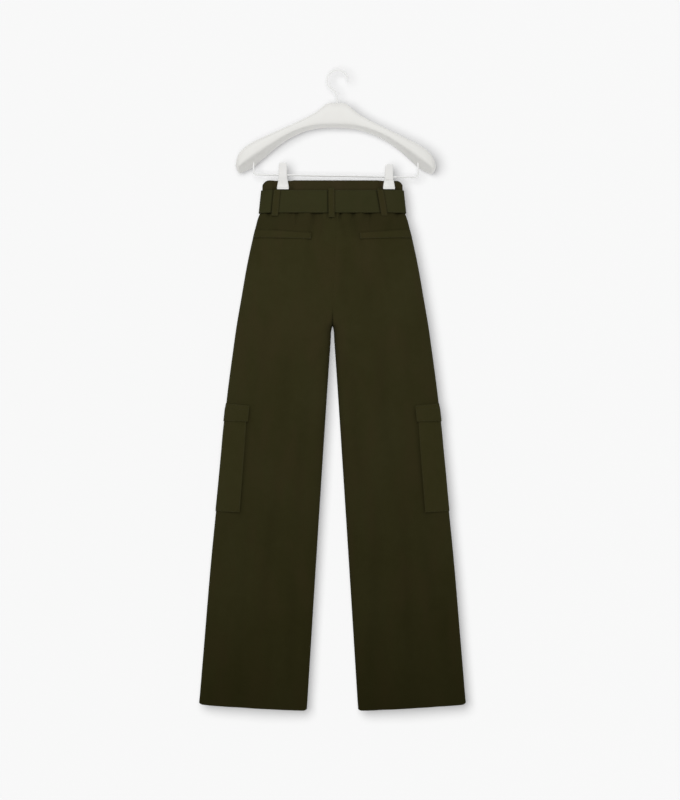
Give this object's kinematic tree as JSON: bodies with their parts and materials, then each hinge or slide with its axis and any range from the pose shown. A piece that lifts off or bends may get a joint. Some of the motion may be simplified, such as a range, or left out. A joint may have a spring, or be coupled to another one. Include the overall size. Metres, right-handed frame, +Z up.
{
  "type": "cargo pants on a clip hanger",
  "caption": "Wide-leg cargo pants hung by the waistband from a clip hanger, with a wide cloth belt, welt back pockets and flapped pockets on the side seams.",
  "frame": {"origin": "inner top of the hanger's hook, where a rail or peg carries it", "axes": "+Z up, -Y out of the back of the trousers, +X to the right seen from that side"},
  "size_m": [0.5682, 0.0579, 1.3655],
  "materials": {
    "cloth": "matt dark olive twill",
    "belt_cloth": "matt dark olive twill, stiffened",
    "buckle_metal": "dark satin",
    "hanger_white": "satin white",
    "wire_white": "satin white",
    "clip_white": "satin white"
  },
  "bodies": {
    "root": {"back_left": "cloth", "back_right": "cloth", "front_left": "cloth", "front_right": "cloth", "waistband_back": "cloth", "waistband_front_left": "cloth", "waistband_front_right": "cloth", "fly_placket": "cloth", "loop_back_left": "cloth", "loop_back_centre": "cloth", "loop_back_right": "cloth", "loop_front_left": "cloth", "loop_front_right": "cloth", "welt_left": "cloth", "welt_right": "cloth", "cargo_bag_left": "cloth", "cargo_bag_right": "cloth", "cargo_flap_left": "cloth", "cargo_flap_right": "cloth", "belt": "belt_cloth", "belt_buckle": "buckle_metal", "hanger_body": "hanger_white", "hanger_hook": "wire_white", "hanger_bar": "wire_white", "clip_left_back_jaw": "clip_white", "clip_left_front_jaw": "clip_white", "clip_left_barrel": "clip_white", "clip_right_back_jaw": "clip_white", "clip_right_front_jaw": "clip_white", "clip_right_barrel": "clip_white"}
  },
  "joints": []
}
